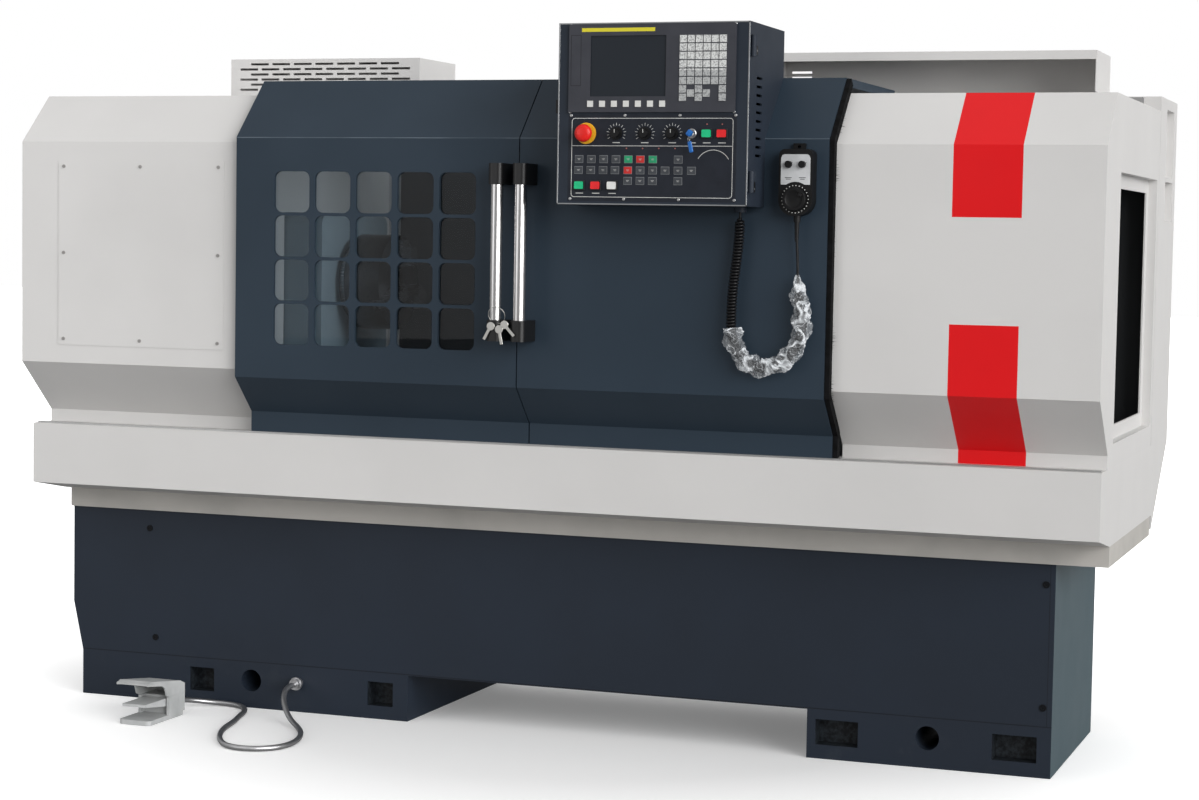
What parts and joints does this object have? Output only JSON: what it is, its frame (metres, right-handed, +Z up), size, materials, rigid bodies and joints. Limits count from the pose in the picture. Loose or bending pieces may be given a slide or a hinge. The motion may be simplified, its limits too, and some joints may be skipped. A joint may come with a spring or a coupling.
{
  "type": "cnc turning lathe",
  "caption": "Flat-bed CNC turning lathe with sliding guard doors, control box, hand pendant, foot switch, chip tray and cast base.",
  "frame": {"origin": "on the floor, under the centre of the machine's box without its cords", "axes": "+X along the spindle axis towards the tailstock end, -Y towards the operator, +Z up"},
  "size_m": [2.775, 1.5302, 1.74],
  "materials": {
    "cover_white": "semi-gloss powder coat",
    "door_paint": "fine textured powder coat",
    "base_paint": "satin enamel on casting",
    "band_paint": "satin enamel",
    "bare_steel": "brushed",
    "ground_steel": "ground and polished",
    "raw_cast": "machined casting",
    "cast_alloy": "cast, matt",
    "box_paint": "fine textured powder coat",
    "unit_plastic": "matt moulding",
    "black_plastic": "matt moulding",
    "black_cord": "matt",
    "black_brush": "bristle",
    "red_plastic": "gloss",
    "green_plastic": "gloss",
    "white_plastic": "gloss",
    "blue_plastic": "gloss",
    "window_glass": "clear, slightly blue",
    "belt_rubber": "matt"
  },
  "bodies": {
    "machine": {"base": "base_paint", "cover_screws": "black_plastic", "tray_band": "band_paint", "chip_tray": "cover_white", "bed": "raw_cast", "headstock": "raw_cast", "headstock_cover": "cover_white", "access_panel": "cover_white", "vent_cover": "cover_white", "rear_hood": "cover_white", "end_cover": "cover_white", "electrical_cabinet": "cover_white", "door_rails": "bare_steel", "spindle_motor": "raw_cast", "z_servo_motor": "raw_cast", "drive_belt": "belt_rubber", "foot_switch": "cast_alloy", "foot_switch_guard": "cast_alloy", "conduit_gland": "bare_steel", "foot_conduit": "bare_steel"},
    "spindle": {"spindle": "ground_steel", "chuck_body": "ground_steel", "spindle_pulley": "raw_cast"},
    "motor_shaft": {"motor_pulley": "raw_cast"},
    "jaw_1": {"chuck_jaw_1": "ground_steel"},
    "jaw_2": {"chuck_jaw_2": "ground_steel"},
    "jaw_3": {"chuck_jaw_3": "ground_steel"},
    "saddle": {"saddle": "raw_cast"},
    "cross_slide": {"cross_slide": "raw_cast"},
    "turret": {"tool_turret": "raw_cast", "turning_tools": "bare_steel"},
    "ball_screw": {"z_ball_screw": "ground_steel"},
    "tailstock": {"tailstock_body": "raw_cast"},
    "quill": {"tailstock_quill": "ground_steel"},
    "left_door": {"left_door": "door_paint", "window_glass": "window_glass", "left_handle": "bare_steel"},
    "right_door": {"right_door": "door_paint", "right_handle": "bare_steel", "brush_seal": "black_brush", "control_box": "box_paint", "pendant_body": "black_plastic", "pendant_cord": "black_cord"},
    "panel_door": {"operator_panel": "box_paint", "display_unit": "unit_plastic"},
    "stop": {"emergency_stop": "red_plastic"},
    "knob_1": {"override_knob_1": "black_plastic"},
    "knob_2": {"override_knob_2": "black_plastic"},
    "knob_3": {"override_knob_3": "black_plastic"},
    "key": {"switch_key": "blue_plastic"},
    "power_on": {"power_on_button": "green_plastic"},
    "power_off": {"power_off_button": "red_plastic"},
    "cycle_start": {"cycle_start_button": "green_plastic"},
    "feed_hold": {"feed_hold_button": "red_plastic"},
    "lamp": {"lamp_button": "white_plastic"},
    "pendant_wheel": {"pendant_wheel": "black_plastic"},
    "pendant_knob_1": {"pendant_knob_1": "black_plastic"},
    "pendant_knob_2": {"pendant_knob_2": "black_plastic"},
    "pedal": {"foot_pedal": "cast_alloy"},
    "electrical_door": {"electrical_door": "cover_white"}
  },
  "joints": [
    {"name": "spindle_turn", "type": "hinge", "parent": "machine", "child": "spindle", "pos_m": [-0.6525, -0.07, 1.123], "axis": [1, 0, 0], "continuous": true},
    {"name": "motor_turn", "type": "hinge", "parent": "machine", "child": "motor_shaft", "pos_m": [-1.2975, -0.07, 1.45], "axis": [1, 0, 0], "continuous": true},
    {"name": "jaw_1_slide", "type": "slide", "parent": "spindle", "child": "jaw_1", "axis": [0, 0, 1], "range_m": [-0.005, 0.008]},
    {"name": "jaw_2_slide", "type": "slide", "parent": "spindle", "child": "jaw_2", "axis": [0, -0.866, -0.5], "range_m": [-0.005, 0.008]},
    {"name": "jaw_3_slide", "type": "slide", "parent": "spindle", "child": "jaw_3", "axis": [0, 0.866, -0.5], "range_m": [-0.005, 0.008]},
    {"name": "saddle_slide", "type": "slide", "parent": "machine", "child": "saddle", "axis": [1, 0, 0], "range_m": [-0.62, 0.04]},
    {"name": "cross_slide", "type": "slide", "parent": "saddle", "child": "cross_slide", "axis": [0, 1, 0], "range_m": [-0.03, 0.14]},
    {"name": "turret_turn", "type": "hinge", "parent": "cross_slide", "child": "turret", "pos_m": [0.3125, -0.21, 1.123], "axis": [0, 0, 1], "continuous": true},
    {"name": "screw_turn", "type": "hinge", "parent": "machine", "child": "ball_screw", "pos_m": [0.1125, -0.312, 0.81], "axis": [1, 0, 0], "range_deg": [-22321, 1441]},
    {"name": "tailstock_slide", "type": "slide", "parent": "machine", "child": "tailstock", "axis": [1, 0, 0], "range_m": [-0.1, 0.06]},
    {"name": "quill_slide", "type": "slide", "parent": "tailstock", "child": "quill", "axis": [1, 0, 0], "range_m": [-0.12, 0]},
    {"name": "left_door_slide", "type": "slide", "parent": "machine", "child": "left_door", "axis": [1, 0, 0], "range_m": [-0.6, 0]},
    {"name": "right_door_slide", "type": "slide", "parent": "machine", "child": "right_door", "axis": [1, 0, 0], "range_m": [0, 0.6]},
    {"name": "panel_hinge", "type": "hinge", "parent": "right_door", "child": "panel_door", "pos_m": [0.617, -0.678, 1.5], "axis": [0, 0, 1], "range_deg": [0, 100]},
    {"name": "stop_push", "type": "slide", "parent": "panel_door", "child": "stop", "axis": [0, 1, 0], "range_m": [0, 0.006]},
    {"name": "knob_1_turn", "type": "hinge", "parent": "panel_door", "child": "knob_1", "pos_m": [0.2965, -0.687, 1.488], "axis": [0, -1, 0], "range_deg": [-135, 135]},
    {"name": "knob_2_turn", "type": "hinge", "parent": "panel_door", "child": "knob_2", "pos_m": [0.3655, -0.687, 1.488], "axis": [0, -1, 0], "range_deg": [-135, 135]},
    {"name": "knob_3_turn", "type": "hinge", "parent": "panel_door", "child": "knob_3", "pos_m": [0.4315, -0.687, 1.488], "axis": [0, -1, 0], "range_deg": [-135, 135]},
    {"name": "key_turn", "type": "hinge", "parent": "panel_door", "child": "key", "pos_m": [0.4785, -0.687, 1.488], "axis": [0, -1, 0], "range_deg": [-90, 0]},
    {"name": "power_on_push", "type": "slide", "parent": "panel_door", "child": "power_on", "axis": [0, 1, 0], "range_m": [0, 0.004], "stiffness_N_per_m": 400},
    {"name": "power_off_push", "type": "slide", "parent": "panel_door", "child": "power_off", "axis": [0, 1, 0], "range_m": [0, 0.004], "stiffness_N_per_m": 400},
    {"name": "cycle_start_push", "type": "slide", "parent": "panel_door", "child": "cycle_start", "axis": [0, 1, 0], "range_m": [0, 0.004], "stiffness_N_per_m": 400},
    {"name": "feed_hold_push", "type": "slide", "parent": "panel_door", "child": "feed_hold", "axis": [0, 1, 0], "range_m": [0, 0.004], "stiffness_N_per_m": 400},
    {"name": "lamp_push", "type": "slide", "parent": "panel_door", "child": "lamp", "axis": [0, 1, 0], "range_m": [0, 0.004], "stiffness_N_per_m": 400},
    {"name": "pendant_wheel_turn", "type": "hinge", "parent": "right_door", "child": "pendant_wheel", "pos_m": [0.695, -0.587, 1.344], "axis": [0, -1, 0], "continuous": true},
    {"name": "pendant_knob_1_turn", "type": "hinge", "parent": "right_door", "child": "pendant_knob_1", "pos_m": [0.679, -0.587, 1.423], "axis": [0, -1, 0], "range_deg": [0, 120]},
    {"name": "pendant_knob_2_turn", "type": "hinge", "parent": "right_door", "child": "pendant_knob_2", "pos_m": [0.711, -0.587, 1.423], "axis": [0, -1, 0], "range_deg": [-60, 60]},
    {"name": "pedal_press", "type": "hinge", "parent": "machine", "child": "pedal", "pos_m": [-0.9925, -0.517, 0.046], "axis": [1, 0, 0], "range_deg": [0, 11], "stiffness_Nm_per_rad": 12},
    {"name": "electrical_door_hinge", "type": "hinge", "parent": "machine", "child": "electrical_door", "pos_m": [1.344, 0.721, 1.19], "axis": [0, 0, -1], "range_deg": [0, 110]}
  ],
  "couplings": [
    {"joint": "jaw_2_slide", "follows": "jaw_1_slide", "ratio": 1},
    {"joint": "jaw_3_slide", "follows": "jaw_1_slide", "ratio": 1},
    {"joint": "motor_turn", "follows": "spindle_turn", "ratio": 1},
    {"joint": "screw_turn", "follows": "saddle_slide", "rad_per_m": 628.32}
  ]
}
